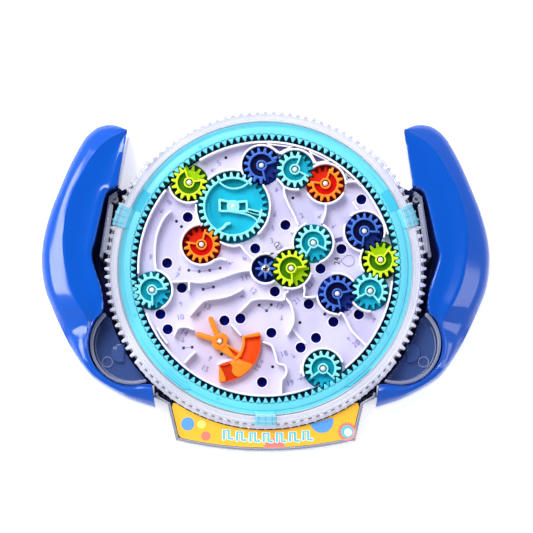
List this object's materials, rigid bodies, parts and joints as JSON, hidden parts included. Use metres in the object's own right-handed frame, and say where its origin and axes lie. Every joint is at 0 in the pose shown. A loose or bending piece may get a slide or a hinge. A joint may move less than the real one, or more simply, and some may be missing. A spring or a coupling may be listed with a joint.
{
  "type": "gear maze ball puzzle",
  "caption": "Hand-held round maze puzzle with a clear cover, two grips and a toothed thumb ring that drives notched gears to pass a steel ball along the tracks.",
  "frame": {"origin": "on the drum's axis at the flat back of the case", "axes": "+X from the left grip to the right grip, +Y from the label to the top, +Z out of the clear window"},
  "size_m": [0.2448, 0.1876, 0.036],
  "materials": {
    "navy_case": "glossy navy moulded plastic",
    "clear_plastic": "polished clear plastic with a pale lavender cast",
    "white_plate": "satin lavender-white moulded plastic",
    "printed_card": "printed yellow card",
    "blue_grip": "high-gloss blue moulded plastic",
    "cyan_ring": "satin cyan moulded plastic",
    "gear_cyan": "translucent-looking aqua moulded plastic",
    "gear_lime": "lime moulded plastic",
    "gear_orange": "orange-red moulded plastic",
    "gear_navy": "navy moulded plastic",
    "lever_orange": "orange moulded plastic",
    "steel": "polished steel"
  },
  "bodies": {
    "case": {"rear_case": "navy_case", "front_cover": "clear_plastic", "maze_plate": "white_plate", "label_cover": "clear_plastic", "label_card": "printed_card", "thumb_well_left": "clear_plastic", "thumb_well_right": "clear_plastic", "left_handle_front": "blue_grip", "left_handle_back": "blue_grip", "right_handle_front": "blue_grip", "right_handle_back": "blue_grip", "handle_screw_left": "steel", "handle_screw_right": "steel", "case_screw_left_top": "steel", "case_screw_left_bottom": "steel", "case_screw_right_top": "steel", "case_screw_right_bottom": "steel"},
    "drum": {"thumb_ring": "clear_plastic", "ring_gear": "cyan_ring", "drive_disc": "navy_case", "centre_pinion": "gear_navy", "pinion_screw": "steel"},
    "gear_lime_upper_left": {"gear_lime_upper_left": "gear_lime"},
    "gear_labyrinth": {"gear_labyrinth": "gear_cyan"},
    "gear_orange_left": {"gear_orange_left": "gear_orange"},
    "gear_navy_top": {"gear_navy_top": "gear_navy"},
    "gear_cyan_top": {"gear_cyan_top": "gear_cyan"},
    "gear_orange_upper_right": {"gear_orange_upper_right": "gear_orange"},
    "gear_lime_right": {"gear_lime_right": "gear_lime"},
    "gear_navy_right": {"gear_navy_right": "gear_navy"},
    "gear_cyan_right": {"gear_cyan_right": "gear_cyan"},
    "gear_navy_lower_right": {"gear_navy_lower_right": "gear_navy"},
    "gear_cyan_left": {"gear_cyan_left": "gear_cyan"},
    "gear_cyan_bottom": {"gear_cyan_bottom": "gear_cyan"},
    "gear_lime_centre": {"gear_lime_centre": "gear_lime"},
    "gear_cyan_centre": {"gear_cyan_centre": "gear_cyan"},
    "swing_lever": {"swing_lever": "lever_orange"},
    "steel_ball": {"steel_ball": "steel"}
  },
  "joints": [
    {"name": "drum_spin", "type": "hinge", "parent": "case", "child": "drum", "pos_m": [0, 0, 0.0156], "axis": [0, 0, 1], "continuous": true},
    {"name": "lime_upper_left_spin", "type": "hinge", "parent": "case", "child": "gear_lime_upper_left", "pos_m": [-0.04174, 0.04718, 0.0192], "axis": [0, 0, 1], "continuous": true},
    {"name": "labyrinth_spin", "type": "hinge", "parent": "case", "child": "gear_labyrinth", "pos_m": [-0.01773, 0.03398, 0.0192], "axis": [0, 0, 1], "continuous": true},
    {"name": "orange_left_spin", "type": "hinge", "parent": "case", "child": "gear_orange_left", "pos_m": [-0.03494, 0.01318, 0.0192], "axis": [0, 0, 1], "continuous": true},
    {"name": "navy_top_spin", "type": "hinge", "parent": "case", "child": "gear_navy_top", "pos_m": [-0.00221, 0.05656, 0.0192], "axis": [0, 0, 1], "continuous": true},
    {"name": "cyan_top_spin", "type": "hinge", "parent": "case", "child": "gear_cyan_top", "pos_m": [0.01606, 0.05439, 0.0192], "axis": [0, 0, 1], "continuous": true},
    {"name": "orange_upper_right_spin", "type": "hinge", "parent": "case", "child": "gear_orange_upper_right", "pos_m": [0.03275, 0.04664, 0.0192], "axis": [0, 0, 1], "continuous": true},
    {"name": "lime_right_spin", "type": "hinge", "parent": "case", "child": "gear_lime_right", "pos_m": [0.06281, 0.00483, 0.0192], "axis": [0, 0, 1], "continuous": true},
    {"name": "navy_right_spin", "type": "hinge", "parent": "case", "child": "gear_navy_right", "pos_m": [0.05398, 0.02051, 0.0192], "axis": [0, 0, 1], "continuous": true},
    {"name": "cyan_right_spin", "type": "hinge", "parent": "case", "child": "gear_cyan_right", "pos_m": [0.0571, -0.01224, 0.0192], "axis": [0, 0, 1], "continuous": true},
    {"name": "navy_lower_right_spin", "type": "hinge", "parent": "case", "child": "gear_navy_lower_right", "pos_m": [0.03917, -0.01374, 0.0192], "axis": [0, 0, 1], "continuous": true},
    {"name": "cyan_left_spin", "type": "hinge", "parent": "case", "child": "gear_cyan_left", "pos_m": [-0.06191, -0.0117, 0.0192], "axis": [0, 0, 1], "continuous": true},
    {"name": "cyan_bottom_spin", "type": "hinge", "parent": "case", "child": "gear_cyan_bottom", "pos_m": [0.03131, -0.05467, 0.0192], "axis": [0, 0, 1], "continuous": true},
    {"name": "lime_centre_spin", "type": "hinge", "parent": "case", "child": "gear_lime_centre", "pos_m": [0.014, 0.00019, 0.0192], "axis": [0, 0, 1], "continuous": true},
    {"name": "cyan_centre_spin", "type": "hinge", "parent": "case", "child": "gear_cyan_centre", "pos_m": [0.02605, 0.0141, 0.0192], "axis": [0, 0, 1], "continuous": true},
    {"name": "lever_swing", "type": "hinge", "parent": "case", "child": "swing_lever", "pos_m": [-0.0249, -0.0397, 0.0192], "axis": [0, 0, 1], "range_deg": [0, 40]},
    {"name": "ball_roll", "type": "slide", "parent": "case", "child": "steel_ball", "axis": [0.3502, 0.9367, 0], "range_m": [0, 0.006]}
  ],
  "couplings": [
    {"joint": "lime_upper_left_spin", "follows": "drum_spin", "ratio": 8},
    {"joint": "labyrinth_spin", "follows": "drum_spin", "ratio": -4},
    {"joint": "orange_left_spin", "follows": "drum_spin", "ratio": 8},
    {"joint": "navy_top_spin", "follows": "drum_spin", "ratio": 8},
    {"joint": "cyan_top_spin", "follows": "drum_spin", "ratio": -8},
    {"joint": "orange_upper_right_spin", "follows": "drum_spin", "ratio": 8},
    {"joint": "lime_right_spin", "follows": "drum_spin", "ratio": 8},
    {"joint": "navy_right_spin", "follows": "drum_spin", "ratio": -8},
    {"joint": "cyan_right_spin", "follows": "drum_spin", "ratio": -8},
    {"joint": "navy_lower_right_spin", "follows": "drum_spin", "ratio": 8},
    {"joint": "cyan_left_spin", "follows": "drum_spin", "ratio": 8},
    {"joint": "cyan_bottom_spin", "follows": "drum_spin", "ratio": 8},
    {"joint": "lime_centre_spin", "follows": "drum_spin", "ratio": -0.53333},
    {"joint": "cyan_centre_spin", "follows": "drum_spin", "ratio": 0.53333}
  ]
}
